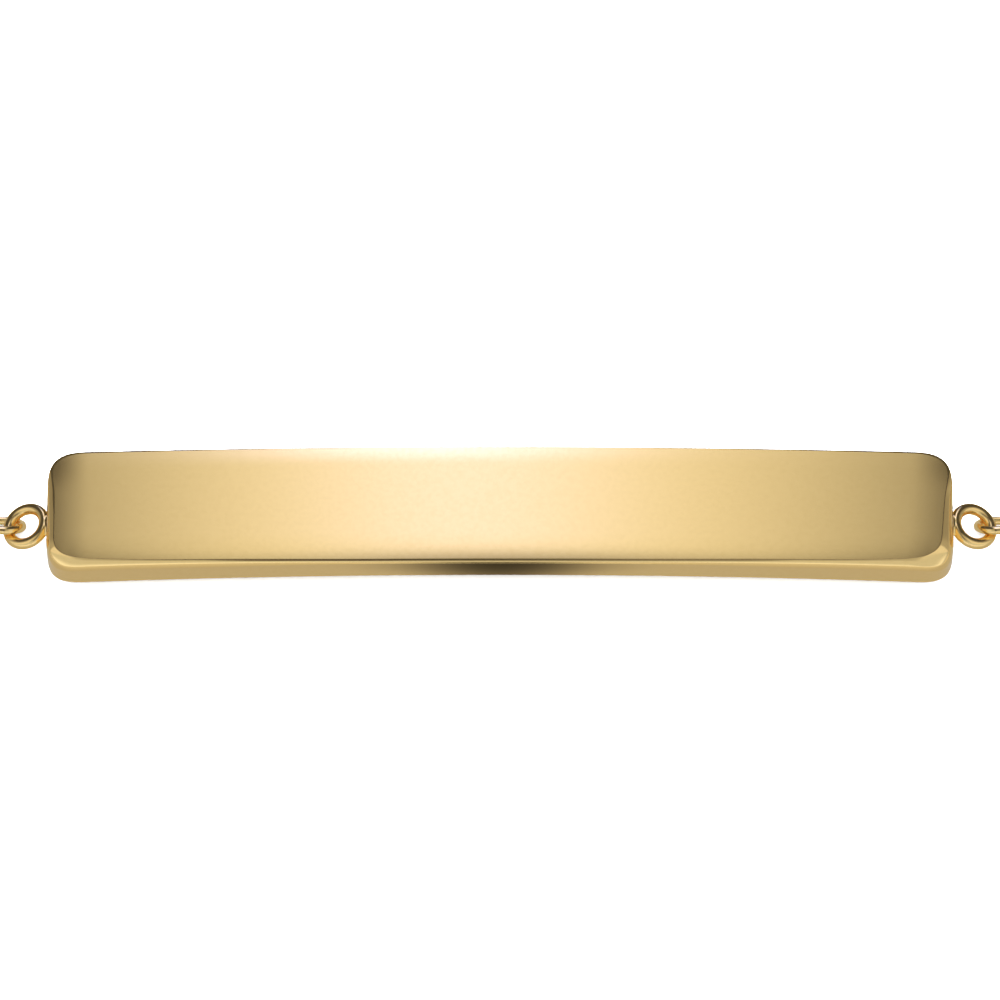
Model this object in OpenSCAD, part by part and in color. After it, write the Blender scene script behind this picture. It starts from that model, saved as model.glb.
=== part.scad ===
/* [Bar] */
// Length of the bar, end to end
bar_l = 38; // [34:0.5:40]
// Width of the bar, across the face
bar_w = 5.27; // [4:0.01:7]
// Thickness of the bar at its middle
bar_mid_t = 1.37; // [1.2:0.01:2]
// Height that the face gains from the bar's ends to its middle
face_rise = 0.5; // [0.2:0.01:0.9]
// Height that the underside gains from the bar's ends to its middle
under_rise = 0.79; // [0.2:0.01:0.9]
// Radius of the bar's corners, seen from above
corner_r = 1.1; // [0.5:0.05:2]
// Radius of the polished edge round the face
edge_r = 0.25; // [0.1:0.01:0.3]

/* [End rings] */
// Radius of an end ring, to the middle of its wire
ring_r = 0.84; // [0.8:0.01:0.9]
// Thickness of the end rings' wire
ring_wire = 0.41; // [0.3:0.01:0.42]
// Height of an end ring's centre
ring_z = 1.08; // [1.06:0.01:1.1]
// Angle by which an end ring drops away from the bar
ring_tilt = 25.4; // [20:0.1:28]
// Distance from the bar's end to an end ring's centre
ring_reach = 0.92; // [0.9:0.01:0.93]
// Height of the bar's lower end edge above an end ring's centre
bar_lift = 0.05; // [0:0.01:0.2]
// Diameter of the run of solder that fills each joint
solder_d = 0.5; // [0.4:0.02:0.6]
// Length of the run of solder along the bar's end
solder_l = 0.8; // [0.6:0.05:1]

/* [Chain] */
// Thickness of the links' wire
wire = 0.36; // [0.3:0.01:0.37]
// Width of a link, between the middles of its wire
link_w = 1.45; // [1.4:0.01:1.6]
// Half the length of a link, to the middle of its wire
link_h = 1.0; // [0.95:0.01:1.05]
// Gap between two links where they hook together
link_gap = 0.12; // [0.1:0.01:0.2]
// Angle by which each link leans to one side or the other
link_roll = 49; // [48:1:52]
// Number of links on each side
link_count = 45; // [36:1:52]
// Distance from the bar's end to the tip of the first link
tip_reach = 0.88; // [0.86:0.01:0.92]
// Distance by which the chain lies further back than the bar's middle line
chain_shift = 0.2; // [0.18:0.01:0.22]

/* [Loop] */
// Distance from the middle of the bar to where the loop starts to turn
straight = 22; // [21:0.5:23]
// Angle of the tight turn at each side
side_turn = 110; // [100:1:125]

/* [Clasp] */
// Radius of the clasp, to the middle of its tube
clasp_r = 2.0; // [1.9:0.05:2.1]
// Thickness of the clasp's tube
clasp_tube = 0.86; // [0.8:0.01:0.9]
// Height of the clasp's middle plane
clasp_z = 1.16; // [1.14:0.01:1.18]
// Radius of the clasp's small loop, to the middle of its wire
loop_r = 0.6; // [0.55:0.01:0.65]
// Thickness of the small loop's wire
loop_wire = 0.4; // [0.3:0.01:0.42]
// Radius of the ring that the clasp holds, to the middle of its wire
catch_r = 1.25; // [1.2:0.01:1.3]
// Thickness of the wire of the ring that the clasp holds
catch_wire = 0.44; // [0.4:0.01:0.46]

/* [Hidden] */
$fn = 48;

// The bar: its face and underside are arcs about two axes below it.
bar_z = ring_z + bar_lift;
bar_end_t = bar_mid_t - face_rise + under_rise;
face_z = bar_z + bar_end_t + face_rise;
under_z = bar_z + under_rise;
face_arc = arc_radius(bar_l, face_rise);
under_arc = arc_radius(bar_l, under_rise);
arc_depth = 3;
arc_angle = 8;
arc_fn = 720;
edge_x = bar_l / 2 - edge_r;
edge_z = face_z - face_arc + sqrt(pow(face_arc - edge_r, 2) - pow(edge_x, 2));
edge_overlap = 1.03;
spare = 1;
ring_x = bar_l / 2 + ring_reach;
solder_x = bar_l / 2 + 0.08;
solder_y = -0.2;
solder_z = ring_z + 0.32;

// The chain: a straight stretch, a tight arc at the side and a wide arc at the back.
pitch = 2 * link_h - wire - link_gap;
link_z = wire / 2 + link_w / 2 * sin(link_roll);
first_s = bar_l / 2 + tip_reach + wire / 2 + link_h;
catch_x = clasp_r + 0.3;
last_x = catch_x + catch_r + 0.2;
half_loop = first_s + (link_count - 1) * pitch + last_x;
back_turn = 180 - side_turn;
side_arc = (half_loop - straight) / PI - straight * back_turn / 180 / sin(side_turn);
back_arc = side_arc + straight / sin(side_turn);
side_s = straight + side_arc * side_turn * PI / 180;
back_y = side_arc + (back_arc - side_arc) * cos(side_turn);

// The clasp lies at the back of the loop, opposite the bar.
clasp_x = 0.03;
clasp_y = back_y + back_arc - 0.08;
loop_x = clasp_x - clasp_r - 0.8;
loop_y = clasp_y + 0.21;
loop_z = 0.81;
loop_roll = 45;
catch_y = clasp_y - 0.08;
catch_roll = 50;
catch_z = catch_wire / 2 + catch_r * sin(catch_roll);
lever_d = 0.5;
lever_l = 0.7;
lever_angle = 115;

// The whole is centred front to back on the origin, and stands on the plane z = 0.
bar_y = -(clasp_y + clasp_r + clasp_tube / 2 - bar_w / 2) / 2;

function arc_radius(chord, rise) = (pow(chord / 2, 2) + pow(rise, 2)) / (2 * rise);

// Heading of the loop at a distance from the middle of the bar, along the loop
function heading(s) =
    s < straight ? 0
    : s < side_s ? (s - straight) / side_arc * 180 / PI
    : side_turn + (s - side_s) / back_arc * 180 / PI;

// Place on the loop, measured from the middle of the bar
function place(s) =
    s < straight ? [s, 0]
    : s < side_s ? [straight + side_arc * sin(heading(s)), side_arc * (1 - cos(heading(s)))]
    : [back_arc * sin(heading(s)), back_y - back_arc * cos(heading(s))];

// Section across the bar, with the rounded edges of its face on the right
module bar_section() {
    translate([face_arc - arc_depth, -bar_w / 2])
        square([arc_depth - edge_r, bar_w]);
    translate([face_arc - arc_depth, -bar_w / 2 + edge_r])
        square([arc_depth, bar_w - 2 * edge_r]);
    for (side = [-1, 1])
        translate([face_arc - edge_r, side * (bar_w / 2 - edge_r)])
            circle(r = edge_r);
}

// Outline of the bar from above, with its rounded corners
module bar_outline() {
    square([bar_l, bar_w - 2 * corner_r], center = true);
    square([bar_l - 2 * corner_r, bar_w], center = true);
    for (x = [-1, 1], y = [-1, 1])
        translate([x * (bar_l / 2 - corner_r), y * (bar_w / 2 - corner_r)])
            circle(r = corner_r);
}

// Outline of the bar from the front, which rounds the upper edge of both ends
module bar_end_rounding() {
    translate([-edge_x, 0])
        square([2 * edge_x, face_z + spare]);
    translate([-bar_l / 2 - spare, 0])
        square([bar_l + 2 * spare, edge_z]);
    for (side = [-1, 1])
        translate([side * edge_x, edge_z])
            circle(r = edge_r * edge_overlap);
}

module bar_plate() {
    difference() {
        intersection() {
            translate([0, 0, face_z - face_arc])
                rotate([90, 0, 0])
                    rotate_extrude(angle = arc_angle, start = 90 - arc_angle / 2, $fn = arc_fn)
                        bar_section();
            linear_extrude(face_z + spare)
                bar_outline();
            rotate([90, 0, 0])
                linear_extrude(bar_w + spare, center = true)
                    bar_end_rounding();
        }
        translate([0, 0, under_z - under_arc])
            rotate([90, 0, 0])
                cylinder(r = under_arc, h = bar_w + spare, center = true, $fn = 2 * arc_fn);
    }
}

// A wire ring lying flat, centred on the origin
module wire_ring(radius, thickness) {
    rotate_extrude($fn = 72)
        translate([radius, 0])
            circle(d = thickness);
}

// An end ring and the solder that joins it to the bar's right end (side 1) or left end (side -1)
module end_ring(side) {
    translate([side * ring_x, 0, ring_z])
        rotate([0, side * ring_tilt, 0])
            wire_ring(ring_r, ring_wire);
    translate([side * solder_x, solder_y, solder_z])
        rotate([90, 0, 0])
            cylinder(d = solder_d, h = solder_l, center = true);
}

module bar() {
    color([0.83, 0.68, 0.39])
        translate([0, bar_y, 0]) {
            bar_plate();
            for (side = [-1, 1])
                end_ring(side);
        }
}

// An oval wire link lying flat, with its length along X
module link() {
    for (end = [0, 180])
        rotate([0, 0, end]) {
            translate([link_h - link_w / 2, 0, 0])
                rotate_extrude(angle = 180, start = -90)
                    translate([link_w / 2, 0])
                        circle(d = wire);
            translate([0, link_w / 2, 0])
                rotate([0, 90, 0])
                    cylinder(d = wire, h = 2 * link_h - link_w, center = true);
        }
}

// The links from the right end ring to the back of the loop, leaning left and right in turn
module half_chain() {
    for (i = [0 : link_count - 1])
        translate([place(first_s + i * pitch).x, bar_y + chain_shift + place(first_s + i * pitch).y, link_z])
            rotate([0, 0, heading(first_s + i * pitch)])
                rotate([i % 2 == 0 ? -link_roll : link_roll, 0, 0])
                    link();
}

module chain_right() {
    color([0.85, 0.7, 0.4])
        half_chain();
}

module chain_left() {
    color([0.85, 0.7, 0.4])
        mirror([1, 0, 0])
            half_chain();
}

// The clasp, closed: a round tube ring, its lever and the small loop that the left chain hangs on
module clasp() {
    color([0.8, 0.64, 0.35]) {
        translate([clasp_x, bar_y + clasp_y, clasp_z]) {
            wire_ring(clasp_r, clasp_tube);
            rotate([0, 0, lever_angle])
                translate([clasp_r, 0, 0])
                    cylinder(d = lever_d, h = lever_l);
        }
        translate([loop_x, bar_y + loop_y, loop_z])
            rotate([-loop_roll, 0, 0])
                wire_ring(loop_r, loop_wire);
    }
}

// The ring on the end of the right chain, which the clasp holds
module clasp_catch_ring() {
    color([0.8, 0.64, 0.35])
        translate([clasp_x + catch_x, bar_y + catch_y, catch_z])
            rotate([-catch_roll, 0, 0])
                wire_ring(catch_r, catch_wire);
}

bar();
chain_left();
chain_right();
clasp();
clasp_catch_ring();
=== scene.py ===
import math
from functools import partial, reduce
from types import SimpleNamespace

import bmesh
import bpy
from mathutils import Matrix, Vector


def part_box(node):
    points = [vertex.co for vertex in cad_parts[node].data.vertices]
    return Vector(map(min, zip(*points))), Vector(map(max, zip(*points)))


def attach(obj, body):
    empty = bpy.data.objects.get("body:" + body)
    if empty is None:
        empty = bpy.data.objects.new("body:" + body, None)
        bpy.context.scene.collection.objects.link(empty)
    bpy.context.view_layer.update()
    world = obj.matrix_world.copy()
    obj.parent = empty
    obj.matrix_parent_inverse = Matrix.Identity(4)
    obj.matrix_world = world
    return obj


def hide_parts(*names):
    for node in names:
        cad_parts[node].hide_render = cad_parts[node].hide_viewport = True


bl_info = {
    "name": "Bar Bracelet",
    "version": (1, 0, 0),
    "blender": (4, 5, 0),
    "location": "View3D > Sidebar > Bracelet",
    "description": "Polished gold bar bracelet with soldered end rings, cable chain and ring clasp",
    "category": "Object",
}

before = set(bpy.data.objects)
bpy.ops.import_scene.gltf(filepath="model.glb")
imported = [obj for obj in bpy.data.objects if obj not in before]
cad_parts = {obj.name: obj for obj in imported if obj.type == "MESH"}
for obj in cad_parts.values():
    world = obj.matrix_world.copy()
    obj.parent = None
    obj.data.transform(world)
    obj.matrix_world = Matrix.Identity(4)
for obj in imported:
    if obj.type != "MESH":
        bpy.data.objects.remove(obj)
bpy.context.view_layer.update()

MM = 0.001
BAR_LOW, BAR_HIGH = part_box("bar")
BAR_Y = (BAR_LOW.y + BAR_HIGH.y) / 2
BODY = "root"
MIX_SOCKETS = ("Factor_Float", "A_Color", "B_Color")

# Values of the cloud noise between which the gold goes from bright to dull, and from its own to its deeper tint
HAZE = (0.35, 0.65)
WEAR = (0.4, 0.75)


# Settings


def length(name, description, default):
    """A size in metres, given in millimetres"""
    return bpy.props.FloatProperty(
        name=name, description=description, default=default * MM, unit="LENGTH", subtype="DISTANCE", precision=6
    )


def angle(name, description, default):
    """An angle in radians, given in degrees"""
    return bpy.props.FloatProperty(
        name=name, description=description, default=math.radians(default), unit="ROTATION", subtype="ANGLE"
    )


def number(name, description, default):
    """A plain number"""
    return bpy.props.FloatProperty(name=name, description=description, default=default)


def count(name, description, default):
    """A whole number"""
    return bpy.props.IntProperty(name=name, description=description, default=default)


def colour(name, description, default):
    """A colour, linear red, green and blue"""
    return bpy.props.FloatVectorProperty(
        name=name, description=description, default=default, size=3, min=0, max=1, subtype="COLOR"
    )


class BraceletBarSettings(bpy.types.PropertyGroup):
    bar_length: length("Length", "Length of the bar, end to end", 38)
    middle_thickness: length("Thickness", "Thickness of the bar at its middle", 1.37)
    face_rise: length("Face rise", "Height that the face gains from the ends to the middle", 0.5)
    under_rise: length("Underside rise", "Height that the underside gains from the ends to the middle", 0.88)
    extra_width: length("Extra width", "Distance by which the front and back stand out past the solid", 0.03)
    extra_back: length("Extra back", "Distance by which the back stands out further still", 0.02)
    wall_lean: length("Wall lean", "Distance by which the side walls lean in at their top", 0.02)
    corner_length: length("Corner length", "Length over which a corner rounds, seen from above", 2.0)
    front_corner: length("Front corner", "Length over which the outline's front corners round", 1.76)
    inner_corner: length("Inner corner", "Width over which the face's own corners round", 1.2)
    corner_power: number("Corner power", "How square the corners are: 2 is a plain ellipse", 3.4)
    end_band: length("End band", "Width of the polished edge at the left end", 0.27)
    end_band_right: length("Right end band", "Width of the polished edge at the right end", 0.345)
    end_slant: number("End slant", "Width that the right end's edge gains over each unit to the front", 0.09)
    end_band_back: length("Back end band", "Width of the ends' polished edge at their back corners", 0.18)
    front_band: length("Front band", "Width of the front's polished edge at the middle", 0.135)
    front_band_end: length("Front band's end", "Width of the front's polished edge near the ends", 0.325)
    front_start: length("Front start", "Distance from the middle where the front's edge starts to widen", 9)
    front_power: number("Front power", "How late along the bar the front's edge widens", 3.4)
    back_band: length("Back band", "Width of the back's polished edge at the middle", 0.03)
    back_band_end: length("Back band's end", "Width of the back's polished edge near the ends", 0.13)
    back_start: length("Back start", "Distance from the middle where the back's edge starts to widen", 3)
    back_power: number("Back power", "How late along the bar the back's edge widens", 1.5)
    band_top: angle("Band top", "Slope of the polished edge where it meets the face", 28)
    band_top_middle: angle("Band top at the middle", "The same at the middle of the front", 10)
    band_top_end: angle("Band top at the ends", "The same at both ends", 9)
    band_foot: angle("Band foot", "Slope of the polished edge where it meets the side", 54)
    band_foot_middle: angle("Band foot at the middle", "The same at the middle of the front", 78)
    crease: number("Crease", "Radius of the lower crease, as a share of the polished edge's own", 0.12)
    shoulder_width: length("Shoulder width", "Width of the steep strip below the polished edge", 0.055)
    shoulder_height: length("Shoulder height", "Height of the steep strip below the polished edge", 0.22)
    shoulder_middle: length("Middle shoulder", "Width of that strip at the middle of the front", 0.004)
    front_roll: length("Front roll", "Width over which the face rolls off at the front", 1.15)
    front_roll_angle: angle("Front roll angle", "Slope of the face at the middle of the front's edge", 6.3)
    front_roll_end: angle("Front roll's end angle", "Slope of the face at the ends of the front's edge", 4.9)
    back_roll: length("Back roll", "Width over which the face rolls off at the back", 0.8)
    back_roll_angle: angle("Back roll angle", "Slope of the face where it meets the back's edge", 5)
    end_roll: length("End roll", "Length over which the face rolls off at the ends", 1.5)
    end_roll_angle: angle("End roll angle", "Extra slope of the face at the ends", 1.2)
    end_roll_back: angle("End roll at the back", "Extra slope of the face at the back of its ends", 2.2)
    end_roll_right: number("End roll at the right", "The right end's extra slope, as a share of the left's", 0.7)
    under_edge: length("Underside edge", "Radius of the lower edge", 0.06)
    columns: count("Columns", "Number of faces along the bar", 128)
    rows: count("Rows", "Number of faces across the bar", 32)


class BraceletRingSettings(bpy.types.PropertyGroup):
    radius: length("Radius", "Radius of an end ring, to the middle of its wire", 0.825)
    wire: length("Wire", "Thickness of the end rings' wire", 0.48)
    height: length("Height", "Height of an end ring's centre", 1.03)
    tilt: angle("Tilt", "Angle by which an end ring drops away from the bar", 22.1)
    lean: angle("Lean", "Angle by which an end ring drops towards the back", 4.5)
    reach: length("Reach", "Distance from the bar's end to an end ring's centre", 0.905)
    solder_reach: length("Solder reach", "Distance from the bar's end to the middle of the solder", 0.02)
    solder_front: length("Solder shift", "Distance by which the solder lies further to the front", 0.1)
    solder_level: length("Solder level", "Height of the middle of the solder", 1.4)
    solder_depth: length("Solder depth", "Half the length of the solder along the bar", 0.17)
    solder_width: length("Solder width", "Half the length of the solder across the bar", 0.5)
    solder_height: length("Solder height", "Half the height of the solder", 0.2)


class BraceletChainSettings(bpy.types.PropertyGroup):
    wire: length("Wire", "Thickness of the links' wire", 0.36)
    link_width: length("Link width", "Width of a link, between the middles of its wire", 1.45)
    link_half: length("Link half length", "Half the length of a link, to the middle of its wire", 1.0)
    link_gap: length("Link gap", "Gap between two links where they hook together", 0.12)
    link_roll: angle("Link roll", "Angle by which each link leans to one side or the other", 49)
    link_count: count("Links", "Number of links on each side", 45)
    tip_reach: length("Tip reach", "Distance from the bar's end to the tip of the first link", 0.88)
    shift: length("Shift", "Distance by which the chain lies behind the bar's middle line", 0.2)
    first_shift: length("First shift", "Distance by which the first link lies further from the bar", 0.045)
    first_turn: angle("First turn", "Angle by which the first link points to the front", 4.0)
    straight: length("Straight", "Distance from the middle of the bar to where the loop starts to turn", 22)
    side_turn: angle("Side turn", "Angle of the tight turn at each side", 110)
    last_reach: length("Last reach", "Distance from the last link's middle to the middle of the back", 3.75)


class BraceletClaspSettings(bpy.types.PropertyGroup):
    radius: length("Radius", "Radius of the clasp, to the middle of its tube", 2.0)
    tube: length("Tube", "Thickness of the clasp's tube", 0.86)
    height: length("Height", "Height of the clasp's centre", 1.16)
    lever_turn: angle("Lever turn", "Place of the lever round the clasp, from the right towards the back", 115)
    lever_radius: length("Lever radius", "Radius of the lever", 0.25)
    lever_height: length("Lever height", "Height of the lever above the middle of the tube", 0.7)
    lever_edge: length("Lever edge", "Radius of the lever's rounded top", 0.09)
    loop_radius: length("Loop radius", "Radius of the small loop, to the middle of its wire", 0.6)
    loop_wire: length("Loop wire", "Thickness of the small loop's wire", 0.4)
    loop_shift: length("Loop shift", "Distance by which the small loop lies behind the clasp's centre", 0.21)
    loop_height: length("Loop height", "Height of the small loop's centre", 0.81)
    loop_lean: angle("Loop lean", "Angle by which the small loop drops towards the back", 45)
    catch_radius: length("Catch ring radius", "Radius of the ring that the clasp holds", 1.25)
    catch_wire: length("Catch ring wire", "Thickness of the wire of the ring that the clasp holds", 0.44)
    catch_lean: angle("Catch ring lean", "Angle by which that ring drops towards the back", 50)


class BraceletFinishSettings(bpy.types.PropertyGroup):
    gold: colour("Gold", "Colour of the polished gold", (1.0, 0.735, 0.315))
    deep_gold: colour("Deep gold", "Colour of the gold where the polish is duller", (0.985, 0.718, 0.3))
    wire_gold: colour("Wire gold", "Colour of the wire of rings and links", (1.0, 0.725, 0.305))


class BraceletStageSettings(bpy.types.PropertyGroup):
    floor_colour: colour("Floor", "Colour of the floor", (0.86, 0.86, 0.855))
    floor_size: length("Floor size", "Length of each side of the floor", 6000)
    light_size: length("Light size", "Length of each side of the overhead light", 900)
    light_height: length("Light height", "Height of the overhead light", 600)
    light_back: length("Light shift", "Distance by which the overhead light hangs further back", 50)
    light_power: number("Light power", "Power of the overhead light, in watts", 36)
    view_angle: angle("View angle", "Height of the camera above the horizon", 65)
    distance: length("Distance", "Distance from the camera to the bar", 315.8)
    lens: number("Lens", "Focal length of the camera, in millimetres", 270)
    aim_back: length("Aim shift", "Distance behind the bar's middle line at which the camera aims", 1.24)
    aim_height: length("Aim height", "Height at which the camera aims", 1.0)


SETTINGS = {
    "bracelet_bar": BraceletBarSettings,
    "bracelet_ring": BraceletRingSettings,
    "bracelet_chain": BraceletChainSettings,
    "bracelet_clasp": BraceletClaspSettings,
    "bracelet_finish": BraceletFinishSettings,
    "bracelet_stage": BraceletStageSettings,
}


# Modelling. It is done in millimetres, because edit mode works badly on metres this small.


def in_mm(settings):
    """The settings as plain values, with every length in millimetres"""
    values = {}
    for key in type(settings).__annotations__:
        value = getattr(settings, key)
        values[key] = value / MM if settings.bl_rna.properties[key].unit == "LENGTH" else value
    return SimpleNamespace(**values)


def begin(name, primitive, **options):
    """Adds a primitive with nothing else selected, and puts its place in its mesh"""
    bpy.ops.object.select_all(action="DESELECT")
    primitive(**options)
    piece = bpy.context.object
    piece.name = piece.data.name = name
    settle(piece)
    return piece


def only(*pieces):
    """Selects these pieces alone, with the first one active"""
    bpy.ops.object.select_all(action="DESELECT")
    for piece in pieces:
        piece.select_set(True)
    bpy.context.view_layer.objects.active = pieces[0]


def settle(piece):
    """Moves a piece's place, turn and scale into its mesh"""
    only(piece)
    bpy.ops.object.transform_apply(location=True, rotation=True, scale=True)


def edit(piece):
    """Starts editing a piece's mesh, with nothing selected"""
    only(piece)
    bpy.ops.object.mode_set(mode="EDIT")
    bpy.ops.mesh.select_all(action="DESELECT")


def done():
    """Ends the editing"""
    bpy.ops.object.mode_set(mode="OBJECT")


def pick(piece, kind, test):
    """Selects, while editing, only the vertices, edges or faces that pass the test"""
    bpy.ops.mesh.select_mode(type=kind)
    bpy.ops.mesh.select_all(action="DESELECT")
    form = bmesh.from_edit_mesh(piece.data)
    for item in {"VERT": form.verts, "EDGE": form.edges, "FACE": form.faces}[kind]:
        if test(item):
            item.select = True
    form.select_flush_mode()
    bmesh.update_edit_mesh(piece.data)


def apply_modifier(piece, kind, **values):
    """Adds a modifier with these values and applies it"""
    only(piece)
    modifier = piece.modifiers.new(kind.title(), kind)
    for key, value in values.items():
        setattr(modifier, key, value)
    bpy.ops.object.modifier_apply(modifier=modifier.name)


def smooth(piece):
    """Shades a piece smooth all over"""
    only(piece)
    bpy.ops.object.shade_smooth()


def join(name, *pieces):
    """Joins pieces into the first one and names it"""
    only(*pieces)
    bpy.ops.object.join()
    piece = bpy.context.object
    piece.name = piece.data.name = name
    settle(piece)
    return piece


def hand_over(piece, slot, material, *nodes):
    """Scales a finished piece to metres, and gives it its material, its body and its nodes. The slot is not used."""
    smooth(piece)
    piece.scale = (MM, MM, MM)
    settle(piece)
    piece.data.materials.clear()
    piece.data.materials.append(material)
    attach(piece, BODY)
    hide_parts(*nodes)


def arc_radius(chord, rise):
    """Radius of an arc of this chord and rise"""
    return (chord * chord / 4 + rise * rise) / (2 * rise)


def arc_drop(radius, x):
    """Drop of an arc below its top at this distance from its middle"""
    return radius - math.sqrt(radius * radius - x * x)


# Shader nodes


def group(name, inputs, outputs):
    """A new shader node group with these sockets, its input node and its output node"""
    tree = bpy.data.node_groups.new(name, "ShaderNodeTree")
    for label, kind in inputs:
        tree.interface.new_socket(label, in_out="INPUT", socket_type=kind)
    for label, kind in outputs:
        tree.interface.new_socket(label, in_out="OUTPUT", socket_type=kind)
    return tree, tree.nodes.new("NodeGroupInput"), tree.nodes.new("NodeGroupOutput")


def node(tree, kind, feeds=(), **attributes):
    """A new node with these attributes, and what feeds its sockets: another node's output or a plain value"""
    made = tree.nodes.new(kind)
    for name, value in attributes.items():
        setattr(made, name, value)
    for socket, value in dict(feeds).items():
        if isinstance(value, bpy.types.NodeSocket):
            tree.links.new(value, made.inputs[socket])
        else:
            made.inputs[socket].default_value = value
    return made


def calc(tree, operation, *values):
    """The result of a math node"""
    return node(tree, "ShaderNodeMath", enumerate(values), operation=operation).outputs[0]


def product(tree, *factors):
    """Several values multiplied by each other"""
    return reduce(partial(calc, tree, "MULTIPLY"), factors)


def ramp(tree, source, low, high, start=0.0, stop=1.0, kind="SMOOTHSTEP"):
    """A value that goes from start to stop while the source goes from low to high"""
    feeds = enumerate((source, low, high, start, stop))
    return node(tree, "ShaderNodeMapRange", feeds, interpolation_type=kind).outputs[0]


def polish_grain():
    """Fine lines that polishing leaves: a noise drawn out along X, and broad clouds of duller polish"""
    name = "Polish grain"
    if name in bpy.data.node_groups:
        return bpy.data.node_groups[name]
    tree, inside, outside = group(
        name,
        (("Vector", "NodeSocketVector"), ("Scale", "NodeSocketFloat"), ("Stretch", "NodeSocketVector")),
        (("Height", "NodeSocketFloat"), ("Cloud", "NodeSocketFloat")),
    )
    place, scale, stretch = inside.outputs[:3]
    drawn = node(tree, "ShaderNodeVectorMath", {0: place, 1: stretch}, operation="MULTIPLY").outputs[0]
    fine = node(tree, "ShaderNodeTexNoise", {"Vector": drawn, "Scale": scale, "Detail": 3.0, "Roughness": 0.6})
    cloud = node(tree, "ShaderNodeTexNoise", {"Vector": place, "Scale": 5000.0, "Detail": 2.0, "Roughness": 0.5})
    tree.links.new(fine.outputs[0], outside.inputs["Height"])
    tree.links.new(cloud.outputs[0], outside.inputs["Cloud"])
    return tree


def new_material(name):
    """A new material, its node tree and its shader"""
    material = bpy.data.materials.new(name)
    material.use_nodes = True
    tree = material.node_tree
    return material, tree, next(n for n in tree.nodes if n.type == "BSDF_PRINCIPLED")


def gold(name, tint, deep_tint, bright, dull, grain_scale, depth, stretch=(1.0, 1.0, 1.0)):
    """A polished gold: grain in its normal, and clouds in its roughness, from bright to dull, and its tint"""
    material, tree, shader = new_material(name)
    place = node(tree, "ShaderNodeTexCoord").outputs["Object"]
    feeds = {"Vector": place, "Scale": grain_scale, "Stretch": stretch}
    grain = node(tree, "ShaderNodeGroup", feeds, node_tree=polish_grain())
    cloud = grain.outputs["Cloud"]
    mix = node(tree, "ShaderNodeMix", data_type="RGBA")
    share, first, second = (socket for socket in mix.inputs if socket.identifier in MIX_SOCKETS)
    tree.links.new(ramp(tree, cloud, *WEAR, kind="LINEAR"), share)
    first.default_value = (*tint, 1)
    second.default_value = (*deep_tint, 1)
    mixed = next(socket for socket in mix.outputs if socket.type == "RGBA")
    relief = node(tree, "ShaderNodeBump", {"Height": grain.outputs["Height"], "Distance": depth})
    tree.links.new(mixed, shader.inputs["Base Color"])
    tree.links.new(ramp(tree, cloud, *HAZE, bright, dull, kind="LINEAR"), shader.inputs["Roughness"])
    tree.links.new(relief.outputs[0], shader.inputs["Normal"])
    shader.inputs["Metallic"].default_value = 1.0
    return material


# Pieces


def spread(share, crowding):
    """Spaces even steps from 0 to 1 closer together towards 1"""
    return (1 - crowding) * share + crowding * math.sin(share * math.pi / 2)


def soft_step(value, low, high):
    """Rises smoothly from 0 at low to 1 at high"""
    share = min(1.0, max(0.0, (value - low) / (high - low)))
    return share * share * (3 - 2 * share)


def blend(first, second, share):
    """A value between two others"""
    return first + (second - first) * share


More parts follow.
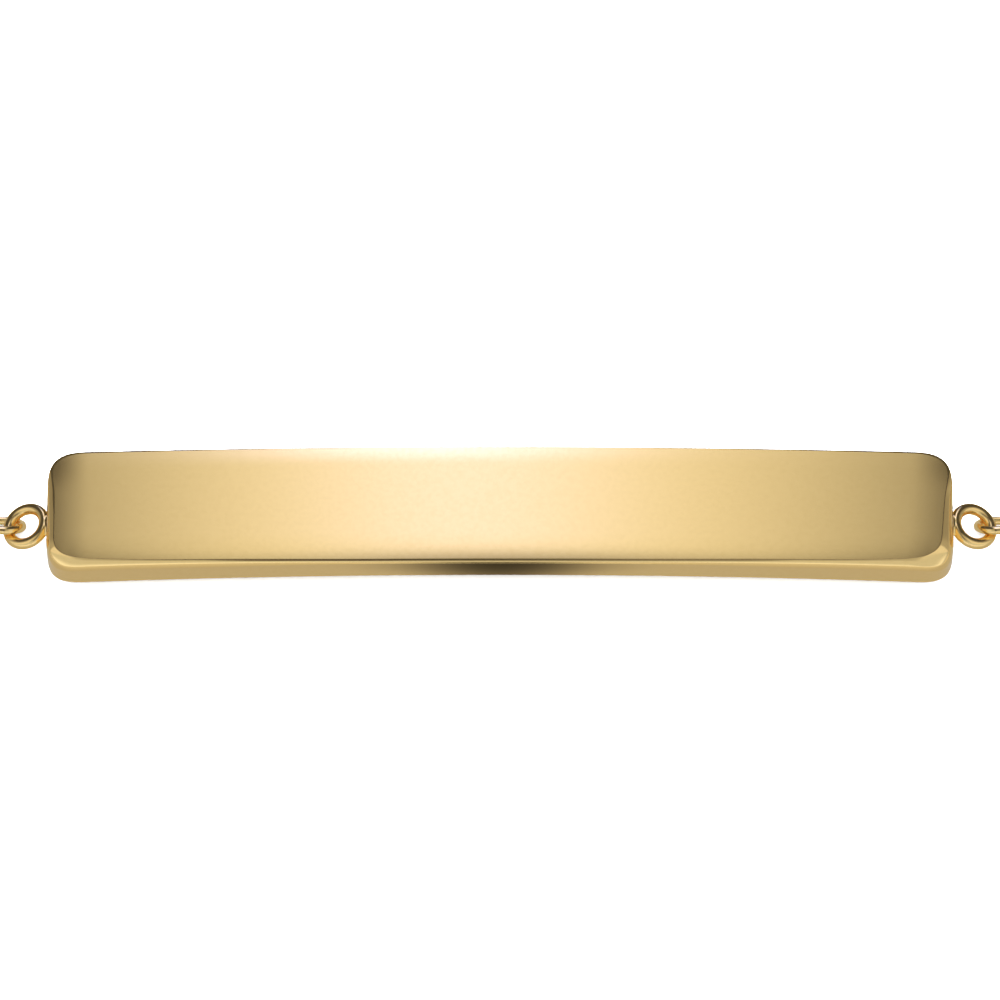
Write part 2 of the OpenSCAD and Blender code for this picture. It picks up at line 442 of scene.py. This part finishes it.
class PlateShape:
    """Places on the bar's plate, in millimetres: u runs along it and w across it, each from -1 to 1"""

    # Width of the rows of small faces that keep the shading of face and walls true up to their borders
    skin = 0.03
    # How much closer together the columns and rows of faces lie towards the outline
    column_crowding, row_crowding = 0.7, 0.55
    # Small step in u or w that gives the outline's direction
    nudge = 0.01
    # Length at each end along which the front's and back's edge widens no further
    level_end = 1

    # Distances along x or y between which one form passes into another
    steep_x = (5, 12.5)  # the front's edge gets its steep strip
    sharp_x = (9.5, 13)  # the front's edge meets the face in a crease
    ends_x = (16.8, 18.4)  # the edge at the ends starts lower
    left_end_y = (-1.2, 0.6)  # the same across the left end, which takes it on towards the back
    right_end_y = (0.7, 1.6)  # the same across the right end
    back_y = (0, 2)  # the edge takes its form at the back
    narrow_y = (0.6, 1.9)  # the end's edge narrows to the back
    front_roll_x = (0, 12)  # the face's slope at the front goes from the middle's to the ends'
    end_roll_y = (0.6, 2.2)  # the face's slope at the ends grows to the back

    # Shares at which the polished edge has a line of vertices: 0 to 1 is its slope and 1 to 2 its crease
    band_shares = (0, 0.06, 0.16, 0.3, 0.44, 0.58, 0.72, 0.86, 0.95, 1, 1.33, 1.67, 2)
    # Rows of faces round the lower edge
    under_steps = 3

    def __init__(self, bar):
        self.bar = bar
        self.half_length = bar.bar_length / 2
        self.half_width = (BAR_HIGH.y - BAR_LOW.y) / 2 / MM + bar.extra_width
        self.top = BAR_HIGH.z / MM
        self.bottom = self.top - bar.middle_thickness
        self.face_arc = arc_radius(bar.bar_length, bar.face_rise)
        self.under_arc = arc_radius(bar.bar_length, bar.under_rise)

    def end_inset(self, u, y):
        """Width of the polished edge at an end"""
        bar = self.bar
        width = bar.end_band_right - bar.end_slant * y if u > 0 else bar.end_band
        return blend(width, bar.end_band_back, soft_step(y, *self.narrow_y))

    def side_inset(self, w, x):
        """Width of the polished edge along the front or the back"""
        bar = self.bar
        if w > 0:
            middle, end, start, power = bar.back_band, bar.back_band_end, bar.back_start, bar.back_power
        else:
            middle, end, start, power = bar.front_band, bar.front_band_end, bar.front_start, bar.front_power
        share = min(1, max(0, (x - start) / (self.half_length - self.level_end - start)))
        return blend(middle, end, share ** power)

    def cut(self, along, reach, depth):
        """How far a corner draws the outline in, at this distance from where it starts"""
        share = min(1, max(0, along / reach))
        return depth * (1 - (1 - share ** self.bar.corner_power) ** (1 / self.bar.corner_power))

    def plan(self, u, w, edge, extra=0.0):
        """A point seen from above: edge 0 is on the outline, edge 1 where the face meets the polished edge"""
        bar = self.bar
        outer = bar.corner_length if w > 0 else bar.front_corner
        reach_x = blend(outer, bar.corner_length, edge)
        reach_y = blend(outer, bar.inner_corner, edge)
        short = 1 - 0.5 ** (1 / bar.corner_power)
        far_x = self.half_length - edge * self.end_inset(u, math.copysign(self.half_width, w)) - extra
        corner_x = far_x - reach_x * short
        half_width = self.half_width + (bar.extra_back if w > 0 else 0)
        far_y = half_width - edge * self.side_inset(w, corner_x) - extra
        corner_y = far_y - reach_y * short
        along, across = spread(abs(u), self.column_crowding), spread(abs(w), self.row_crowding)
        x, y = corner_x * along, corner_y * across
        inset_x = edge * self.end_inset(u, math.copysign(y, w)) + extra
        inset_y = edge * self.side_inset(w, x) + extra
        wide = self.half_length - inset_x - self.cut(y - far_y + reach_y, reach_y, reach_x)
        deep = half_width - inset_y - self.cut(x - far_x + reach_x, reach_x, reach_y)
        return math.copysign(along * wide, u), math.copysign(across * deep, w)

    def gap(self, u, w, inner, extra):
        """Distance from this inner point straight to the outline"""
        nudge = self.nudge
        at_end, at_side = abs(u) > 1 - nudge / 10, abs(w) > 1 - nudge / 10
        if at_end and at_side:
            ends = (u - math.copysign(nudge, u), w), (u, w - math.copysign(nudge, w))
        elif at_side:
            ends = (u - nudge, w), (u + nudge, w)
        else:
            ends = (u, w - nudge), (u, w + nudge)
        first, second = (Vector(self.plan(*end, 0.0, extra)) for end in ends)
        return abs((Vector(inner) - Vector(self.plan(u, w, 0.0, extra))).cross((second - first).normalized()))

    def roll(self, x, y):
        """How far the face has rolled off below its arc"""
        bar = self.bar
        front = self.half_width - self.side_inset(-1, abs(x)) + y
        back = self.half_width + bar.extra_back - self.side_inset(1, abs(x)) - y
        end = self.half_length - self.end_inset(x, y) - abs(x)
        front_slope = blend(bar.front_roll_angle, bar.front_roll_end, soft_step(abs(x), *self.front_roll_x))
        end_slope = blend(bar.end_roll_angle, bar.end_roll_back, soft_step(y, *self.end_roll_y))
        if x > 0:
            end_slope *= bar.end_roll_right
        drop = 0.0
        for away, width, slope in (
            (front, bar.front_roll, front_slope),
            (back, bar.back_roll, bar.back_roll_angle),
            (end, bar.end_roll, end_slope),
        ):
            share = min(1, max(0, 1 - away / width))
            drop += math.tan(slope) * width / 2 * share * share
        return drop

    def face(self, u, w):
        """A point of the face"""
        step = self.profile(*self.plan(u, w, 0.0))[2]
        x, y = self.plan(u, w, 1.0, self.bar.wall_lean + step + self.skin)
        return x, y, self.top - arc_drop(self.face_arc, x) - self.roll(x, y)

    def profile(self, x, y):
        """Slopes where the polished edge starts and ends, and the width and height of the strip below it"""
        bar = self.bar
        back = soft_step(y, *self.back_y)
        sharp = max(soft_step(abs(x), *self.sharp_x), back)
        wide = soft_step(abs(x), *self.steep_x)
        low = soft_step(abs(x), *self.ends_x) * soft_step(y, *(self.right_end_y if x > 0 else self.left_end_y))
        start = blend(blend(bar.band_top_middle, bar.band_top, sharp), bar.band_top_end, low)
        end = blend(bar.band_foot_middle, bar.band_foot, max(wide, back))
        step = blend(bar.shoulder_middle, bar.shoulder_width, wide * (1 - back))
        return start, end, step, step * bar.shoulder_height / bar.shoulder_width

    def band(self, u, w, share):
        """A point of the polished edge: share 0 to 1 is its slope, 1 to 2 its crease and 3 its very foot"""
        bar = self.bar
        start, end, step, tall = self.profile(*self.plan(u, w, 0.0))
        unit = math.sin(end) - math.sin(start) + bar.crease * (1 - math.sin(end))
        if share <= 1:
            turn = blend(start, end, share)
            edge = 1 - (math.sin(turn) - math.sin(start)) / unit
            fall = (math.cos(start) - math.cos(turn)) / unit
        else:
            turn = blend(end, max(end, math.atan2(tall, step)), share - 1) if share <= 2 else math.pi / 2
            edge = bar.crease * (1 - math.sin(turn)) / unit
            fall = (math.cos(start) - math.cos(end) + bar.crease * (math.cos(end) - math.cos(turn))) / unit
        extra = bar.wall_lean + step
        x, y = self.plan(u, w, edge, extra)
        inner = self.plan(u, w, 1.0, extra)
        width = self.gap(u, w, inner, extra)
        return x, y, self.top - arc_drop(self.face_arc, x) - self.roll(*inner) - fall * width

    def side(self, u, w, foot, height):
        """A point of the side wall, at this height below its top or, with foot, above its lower end"""
        if foot:
            x, y = self.plan(u, w, 0.0)
            return x, y, self.bottom - arc_drop(self.under_arc, x) + height
        x, y = self.plan(u, w, 0.0, self.bar.wall_lean)
        return x, y, self.band(u, w, 3)[2] - self.profile(*self.plan(u, w, 0.0))[3] - height

    def under(self, u, w, turn):
        """A point of the lower edge at this turn, or of the underside"""
        radius = self.bar.under_edge
        x, y = self.plan(u, w, 0.0, radius * (1 - math.cos(turn)))
        return x, y, self.bottom - arc_drop(self.under_arc, x) + radius * (1 - math.sin(turn))

    def rings(self):
        """The closed lines of vertices from the face's rim down to the underside's, each as a function"""
        lines = [self.face]
        lines += [partial(self.band, share=share) for share in self.band_shares]
        lines += [partial(self.side, foot=False, height=height) for height in (0, self.skin)]
        lines.append(partial(self.side, foot=True, height=self.bar.under_edge + self.skin))
        turns = [math.pi / 2 * step / self.under_steps for step in range(self.under_steps + 1)]
        return lines + [partial(self.under, turn=turn) for turn in turns]


class BraceletBarOperator(bpy.types.Operator):
    """The arched bar with its rounded corners and polished edge"""

    bl_idname = "bracelet.bar"
    bl_label = "Bar"

    def execute(self, context):
        bar = in_mm(context.scene.bracelet_bar)
        finish = context.scene.bracelet_finish
        rings = PlateShape(bar).rings()

        # A flat box of a grid above, a grid below and rings of faces between, 1 high and 2 wide.
        piece = begin(
            "bar_plate", bpy.ops.mesh.primitive_grid_add, size=2, x_subdivisions=bar.columns, y_subdivisions=bar.rows
        )
        edit(piece)
        bpy.ops.mesh.select_all(action="SELECT")
        bpy.ops.mesh.extrude_region_move(TRANSFORM_OT_translate={"value": (0, 0, -1)})
        pick(piece, "EDGE", lambda e: abs(e.verts[0].co.z - e.verts[1].co.z) > 0.5)
        bpy.ops.mesh.subdivide(number_cuts=len(rings) - 2)
        bpy.ops.mesh.select_all(action="SELECT")
        bpy.ops.mesh.normals_make_consistent(inside=False)

        # Each vertex then takes its place on the plate.
        form = bmesh.from_edit_mesh(piece.data)
        for v in form.verts:
            ring = round(-v.co.z * (len(rings) - 1))
            v.co = rings[ring](v.co.x, v.co.y)
        bmesh.update_edit_mesh(piece.data)
        bpy.ops.transform.translate(value=(0, BAR_Y / MM, 0))
        done()
        material = gold(
            "Polished bar gold", finish.gold, finish.deep_gold,
            bright=0.125, dull=0.135, grain_scale=3400.0, depth=6e-8, stretch=(0.7, 1.0, 1.0),
        )
        hand_over(piece, "bar_gold", material, "bar")
        return {"FINISHED"}


class BraceletRingsOperator(bpy.types.Operator):
    """The two wire end rings, each with its run of solder"""

    bl_idname = "bracelet.end_rings"
    bl_label = "End rings"

    def execute(self, context):
        bar = in_mm(context.scene.bracelet_bar)
        ring = in_mm(context.scene.bracelet_ring)
        finish = context.scene.bracelet_finish
        material = gold(
            "Ring gold", finish.wire_gold, finish.deep_gold, bright=0.13, dull=0.2, grain_scale=3000.0, depth=8e-7
        )
        for side, name in ((-1, "end_ring_left"), (1, "end_ring_right")):
            wire = begin(
                name, bpy.ops.mesh.primitive_torus_add, major_segments=120, minor_segments=32,
                major_radius=ring.radius, minor_radius=ring.wire / 2,
                location=(side * (bar.bar_length / 2 + ring.reach), BAR_Y / MM, ring.height),
                rotation=(-ring.lean, side * ring.tilt, 0),
            )
            solder_x = side * (bar.bar_length / 2 + ring.solder_reach)
            solder = begin(
                "solder", bpy.ops.mesh.primitive_uv_sphere_add, segments=32, ring_count=16, radius=1,
                location=(solder_x, BAR_Y / MM - ring.solder_front, ring.solder_level),
                scale=(ring.solder_depth, ring.solder_width, ring.solder_height),
            )
            piece = join(name, wire, solder)
            apply_modifier(piece, "REMESH", mode="VOXEL", voxel_size=0.022)
            apply_modifier(piece, "SMOOTH", factor=0.5, iterations=10)
            hand_over(piece, "bar_gold", material, "bar")
        return {"FINISHED"}


class LoopPath:
    """The line that the chain follows, measured from the middle of the bar"""

    def __init__(self, bar, chain):
        self.chain = chain
        self.pitch = 2 * chain.link_half - chain.wire - chain.link_gap
        self.first = bar.bar_length / 2 + chain.tip_reach + chain.wire / 2 + chain.link_half
        half_loop = self.first + (chain.link_count - 1) * self.pitch + chain.last_reach
        turn = chain.side_turn
        spare = chain.straight / math.sin(turn)
        self.side_arc = (half_loop - chain.straight - spare * (math.pi - turn)) / math.pi
        self.back_arc = self.side_arc + spare
        self.side_end = chain.straight + self.side_arc * turn
        self.back_y = self.side_arc + (self.back_arc - self.side_arc) * math.cos(turn)

    def heading(self, s):
        """Angle by which the line has turned at this length along it"""
        if s < self.chain.straight:
            return 0.0
        if s < self.side_end:
            return (s - self.chain.straight) / self.side_arc
        return self.chain.side_turn + (s - self.side_end) / self.back_arc

    def place(self, s):
        """The point at this length along the line"""
        turn = self.heading(s)
        if s < self.chain.straight:
            return s, 0.0
        if s < self.side_end:
            return self.chain.straight + self.side_arc * math.sin(turn), self.side_arc * (1 - math.cos(turn))
        return self.back_arc * math.sin(turn), self.back_y - self.back_arc * math.cos(turn)


class BraceletChainsOperator(bpy.types.Operator):
    """The two half chains of oval wire links"""

    bl_idname = "bracelet.chains"
    bl_label = "Chains"

    def execute(self, context):
        bar = in_mm(context.scene.bracelet_bar)
        chain = in_mm(context.scene.bracelet_chain)
        finish = context.scene.bracelet_finish
        path = LoopPath(bar, chain)
        material = gold(
            "Link gold", finish.wire_gold, finish.deep_gold, bright=0.1, dull=0.17, grain_scale=3000.0, depth=6e-7
        )

        # A link is a round ring drawn apart. The ring is turned so that no vertex lies between its halves.
        segments = 64
        link = begin(
            "link", bpy.ops.mesh.primitive_torus_add, major_segments=segments, minor_segments=16,
            major_radius=chain.link_width / 2, minor_radius=chain.wire / 2, rotation=(0, 0, math.pi / segments),
        )
        edit(link)
        stretch = chain.link_half - chain.link_width / 2
        for side in (-1, 1):
            pick(link, "VERT", lambda v: v.co.x * side > 0)
            bpy.ops.transform.translate(value=(side * stretch, 0, 0))
        done()

        height = chain.wire / 2 + chain.link_width / 2 * math.sin(chain.link_roll)
        for side, name in ((-1, "chain_left"), (1, "chain_right")):
            copies = []
            for i in range(chain.link_count):
                s = path.first + i * path.pitch
                x, y = path.place(s)
                turn = side * path.heading(s)
                if i == 0:
                    x += chain.first_shift
                    turn += side * chain.first_turn
                roll = chain.link_roll if i % 2 else -chain.link_roll
                copy = link.copy()
                copy.data = link.data.copy()
                context.collection.objects.link(copy)
                copy.matrix_world = (
                    Matrix.Translation((side * x, BAR_Y / MM + chain.shift + y, height))
                    @ Matrix.Rotation(turn, 4, "Z")
                    @ Matrix.Rotation(roll, 4, "X")
                )
                copies.append(copy)
            context.view_layer.update()
            piece = join(name + "_links", *copies)
            hand_over(piece, "chain_gold", material, name)
        bpy.data.objects.remove(link)
        return {"FINISHED"}


class BraceletClaspOperator(bpy.types.Operator):
    """The closed ring clasp with its lever and small loop, and the ring that it holds"""

    bl_idname = "bracelet.clasp"
    bl_label = "Clasp"

    def execute(self, context):
        clasp = in_mm(context.scene.bracelet_clasp)
        finish = context.scene.bracelet_finish
        material = gold(
            "Clasp gold", finish.wire_gold, finish.deep_gold, bright=0.13, dull=0.2, grain_scale=2200.0, depth=8e-7
        )
        low, high = (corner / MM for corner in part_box("clasp"))
        catch_low, catch_high = (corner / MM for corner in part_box("clasp_catch_ring"))
        reach = clasp.radius + clasp.tube / 2
        centre = Vector((high.x - reach, high.y - reach, clasp.height))
        tube = begin(
            "clasp_body", bpy.ops.mesh.primitive_torus_add, major_segments=160, minor_segments=32,
            major_radius=clasp.radius, minor_radius=clasp.tube / 2, location=centre,
        )
        loop_x = low.x + clasp.loop_radius + clasp.loop_wire / 2
        loop = begin(
            "loop", bpy.ops.mesh.primitive_torus_add, major_segments=80, minor_segments=24,
            major_radius=clasp.loop_radius, minor_radius=clasp.loop_wire / 2,
            location=(loop_x, centre.y + clasp.loop_shift, clasp.loop_height), rotation=(-clasp.loop_lean, 0, 0),
        )
        lever = begin(
            "lever", bpy.ops.mesh.primitive_cylinder_add, vertices=48,
            radius=clasp.lever_radius, depth=clasp.lever_height,
            location=(
                centre.x + clasp.radius * math.cos(clasp.lever_turn),
                centre.y + clasp.radius * math.sin(clasp.lever_turn),
                centre.z + clasp.lever_height / 2,
            ),
        )
        edit(lever)
        pick(lever, "FACE", lambda f: f.normal.z > 0.9)
        bpy.ops.mesh.bevel(offset=clasp.lever_edge, segments=4, affect="EDGES")
        done()
        piece = join("clasp_ring", tube, loop, lever)
        apply_modifier(piece, "REMESH", mode="VOXEL", voxel_size=0.03)
        apply_modifier(piece, "SMOOTH", factor=0.5, iterations=6)
        hand_over(piece, "clasp_gold", material, "clasp")

        catch = begin(
            "catch_ring", bpy.ops.mesh.primitive_torus_add, major_segments=96, minor_segments=24,
            major_radius=clasp.catch_radius, minor_radius=clasp.catch_wire / 2,
            location=(catch_low + catch_high) / 2, rotation=(-clasp.catch_lean, 0, 0),
        )
        hand_over(catch, "clasp_gold", material, "clasp_catch_ring")
        return {"FINISHED"}


# Stage


def studio_world(context):
    """The studio that the gold mirrors: soft boxes and cards, told apart by direction. The camera sees pale grey"""
    world = bpy.data.worlds.new("Studio")
    context.scene.world = world
    world.use_nodes = True
    tree = world.node_tree
    tree.nodes.clear()
    maths, fade, times = partial(calc, tree), partial(ramp, tree), partial(product, tree)

    # Directions in degrees: back from overhead, to the right, up from the table, and back from either side.
    way = node(tree, "ShaderNodeTexCoord").outputs["Generated"]
    x, y, z = node(tree, "ShaderNodeSeparateXYZ", {0: way}).outputs
    degree = 180 / math.pi
    back = times(maths("ARCTAN2", y, z), degree)
    side = times(maths("ARCSINE", x), degree)
    height = times(maths("ARCSINE", z), degree)
    turn = times(maths("ARCTAN2", y, maths("ABSOLUTE", x)), degree)
    wide = maths("ABSOLUTE", side)

    # The main soft box stands behind the bar, brightest in its middle, where it has a core and a strip of its own.
    brightest, left_width, right_width = -0.8, 10.2, 11.6
    level, falloff = 1.06, 1.58
    left = maths("DIVIDE", maths("SUBTRACT", brightest, side), left_width)
    right = maths("DIVIDE", maths("SUBTRACT", side, brightest), right_width)
    off = maths("MAXIMUM", left, right)
    dome = maths("MAXIMUM", maths("SUBTRACT", level, maths("POWER", off, falloff)), 0.0)
    span = times(fade(back, 7, 20), fade(back, 60, 75, 1, 0))
    key = times(dome, span)
    core = times(fade(off, 0.36, 0), span, fade(back, 15, 24, 0.6, 1))
    strip_side = -1.6
    centre = fade(maths("ABSOLUTE", maths("SUBTRACT", side, strip_side)), 5.2, 0)
    strip = times(centre, fade(back, 24, 34.5), fade(height, -2, 6))

    # The front fill has a gap at its middle, and so has the paler light overhead. Cards stand left and right.
    lit = times(fade(height, 1, 5), fade(wide, -0.3, 1.8))
    front = times(fade(back, -36, -44), lit)
    low_front = times(fade(back, -58, -80), lit)
    sides = maths("ADD", maths("ADD", fade(side, 0.8, 2.4), fade(side, -5, -6.6)), fade(wide, 7, 9))
    above = times(sides, fade(back, 9, 3), fade(back, -44, -36))
    cards = times(fade(wide, 18, 28), fade(turn, 33.5, 31), fade(height, -2, 2), fade(turn, 24, 12, 0.6, 1))
    cards = times(cards, maths("SUBTRACT", 1.0, front))

    everywhere = 1.0
    total = None
    for strength, tint in (
        (key, (1.0, 1.0, 1.0)),
        (core, (0.05, 0.11, 0.82)),
        (strip, (0.4, 0.5, 1.65)),
        (front, (0.58, 0.6, 0.62)),
        (low_front, (0.42, 0.44, 0.5)),
        (above, (0.2, 0.2, 0.2)),
        (cards, (0.35, 0.34, 0.33)),
        (everywhere, (0.07, 0.066, 0.062)),
    ):
        light = node(tree, "ShaderNodeVectorMath", {0: tint, "Scale": strength}, operation="SCALE").outputs[0]
        if total is not None:
            light = node(tree, "ShaderNodeVectorMath", {0: total, 1: light}, operation="ADD").outputs[0]
        total = light

    studio = node(tree, "ShaderNodeBackground", {"Color": total}).outputs[0]
    seen = node(tree, "ShaderNodeBackground", {"Color": (0.95, 0.95, 0.95, 1)}).outputs[0]
    camera_ray = node(tree, "ShaderNodeLightPath").outputs["Is Camera Ray"]
    mix = node(tree, "ShaderNodeMixShader", {0: camera_ray, 1: studio, 2: seen})
    node(tree, "ShaderNodeOutputWorld", {0: mix.outputs[0]})


def painted_table_glow():
    """A glowing plane that stands in for the table in the gold's reflections, with painted shade: darker close to
    the bar and behind it, brighter further ahead
    """
    material, tree, _ = new_material("Table glow with painted shade")
    tree.nodes.clear()
    maths, fade, times = partial(calc, tree), partial(ramp, tree), partial(product, tree)

    # Distances in millimetres, ahead of the bar's front and to either side of the middle.
    middle_x = 0.05 * MM
    place = node(tree, "ShaderNodeTexCoord").outputs["Object"]
    x, y, _ = node(tree, "ShaderNodeSeparateXYZ", {0: place}).outputs
    ahead = times(maths("SUBTRACT", BAR_LOW.y, y), 1 / MM)
    across = maths("ABSOLUTE", times(maths("SUBTRACT", x, middle_x), 1 / MM))

    # Painted shadow: the glow is dimmer close to the bar, towards its middle and behind it, and brighter further
    # ahead.
    near, far = 1.6, 5.0
    middle = fade(across, 0, 5, 0.36, 1)
    middle = maths("POWER", middle, fade(ahead, near, far, 1, 1.8, "LINEAR"))
    behind = fade(ahead, -9, -5.5, 0.12, 1)
    beside = fade(across, 26, 32, kind="LINEAR")
    painted_light_and_shade = times(fade(ahead, near, far, 0.51, 0.72), middle, maths("MAXIMUM", behind, beside))

    # The darkest patch, a painted dark reflection: an oval with a shorter half towards the bar.
    patch_ahead, patch_wide, patch_far, patch_near = 1.42, 7.7, 6.0, 0.6
    beyond = maths("SUBTRACT", ahead, patch_ahead)
    beyond = maths("MAXIMUM", maths("DIVIDE", beyond, patch_far), maths("DIVIDE", beyond, -patch_near))
    squares = maths("POWER", maths("DIVIDE", across, patch_wide), 2.0), maths("POWER", beyond, 2.0)
    painted_dark_patch = fade(maths("SQRT", maths("ADD", *squares)), 0.05, 1, 0.28, 1)

    # The plane glows in this warm tint: painted light that stands in for the lit table, dimmed by the painted shadow
    # and dark patch.
    feeds = {"Color": (1.02, 0.97, 0.89, 1), "Strength": times(painted_light_and_shade, painted_dark_patch)}
    glow = node(tree, "ShaderNodeEmission", feeds).outputs[0]
    node(tree, "ShaderNodeOutputMaterial", {0: glow})
    return material


class BraceletStageOperator(bpy.types.Operator):
    """The pale floor, the glowing table with painted shade and the studio that the gold mirrors, the overhead light
    and the camera
    """

    bl_idname = "bracelet.stage"
    bl_label = "Stage"

    def execute(self, context):
        stage = context.scene.bracelet_stage
        context.scene.view_settings.view_transform = "Standard"

        floor = begin("floor", bpy.ops.mesh.primitive_plane_add, size=stage.floor_size)
        material, _, shader = new_material("Pale floor")
        shader.inputs["Base Color"].default_value = (*stage.floor_colour, 1)
        shader.inputs["Roughness"].default_value = 0.9
        floor.data.materials.append(material)
        floor.visible_glossy = False

        # The gold mirrors this plane in place of the floor: it glows with painted light and painted shadow.
        below = -0.05 * MM
        table = begin(
            "table_mirrored", bpy.ops.mesh.primitive_plane_add, size=stage.floor_size, location=(0, 0, below)
        )
        table.data.materials.append(painted_table_glow())
        table.visible_camera = table.visible_diffuse = table.visible_shadow = False

        studio_world(context)
        data = bpy.data.lights.new("overhead", "AREA")
        data.shape, data.size, data.size_y = "RECTANGLE", stage.light_size, stage.light_size
        data.energy = stage.light_power
        light = bpy.data.objects.new("overhead", data)
        light.location = (0, stage.light_back, stage.light_height)
        light.visible_glossy = False
        context.collection.objects.link(light)

        data = bpy.data.cameras.new("camera")
        data.sensor_width, data.lens = 36, stage.lens
        data.clip_start, data.clip_end = 0.01, 20
        camera = bpy.data.objects.new("camera", data)
        aim = Vector((0, BAR_Y + stage.aim_back, stage.aim_height))
        back = Vector((0, -math.cos(stage.view_angle), math.sin(stage.view_angle)))
        camera.location = aim + back * stage.distance
        camera.rotation_euler = (math.pi / 2 - stage.view_angle, 0, 0)
        context.collection.objects.link(camera)
        context.scene.camera = camera
        return {"FINISHED"}


class BraceletPanel(bpy.types.Panel):
    """The pieces of the bracelet, in the order in which they are made"""

    bl_idname = "VIEW3D_PT_bracelet"
    bl_label = "Bar Bracelet"
    bl_space_type = "VIEW_3D"
    bl_region_type = "UI"
    bl_category = "Bracelet"

    def draw(self, context):
        for operator in OPERATORS:
            self.layout.operator(operator.bl_idname)
        for name, settings in SETTINGS.items():
            box = self.layout.box()
            for field in settings.__annotations__:
                box.prop(getattr(context.scene, name), field)


OPERATORS = (
    BraceletStageOperator,
    BraceletBarOperator,
    BraceletRingsOperator,
    BraceletChainsOperator,
    BraceletClaspOperator,
)
CLASSES = (*SETTINGS.values(), *OPERATORS, BraceletPanel)


def register():
    for cls in CLASSES:
        bpy.utils.register_class(cls)
    for name, settings in SETTINGS.items():
        setattr(bpy.types.Scene, name, bpy.props.PointerProperty(type=settings))


def unregister():
    for name in SETTINGS:
        delattr(bpy.types.Scene, name)
    for cls in reversed(CLASSES):
        bpy.utils.unregister_class(cls)


def main():
    register()
    bpy.ops.bracelet.stage()
    bpy.ops.bracelet.bar()
    bpy.ops.bracelet.end_rings()
    bpy.ops.bracelet.chains()
    bpy.ops.bracelet.clasp()


if __name__ == "__main__":
    main()
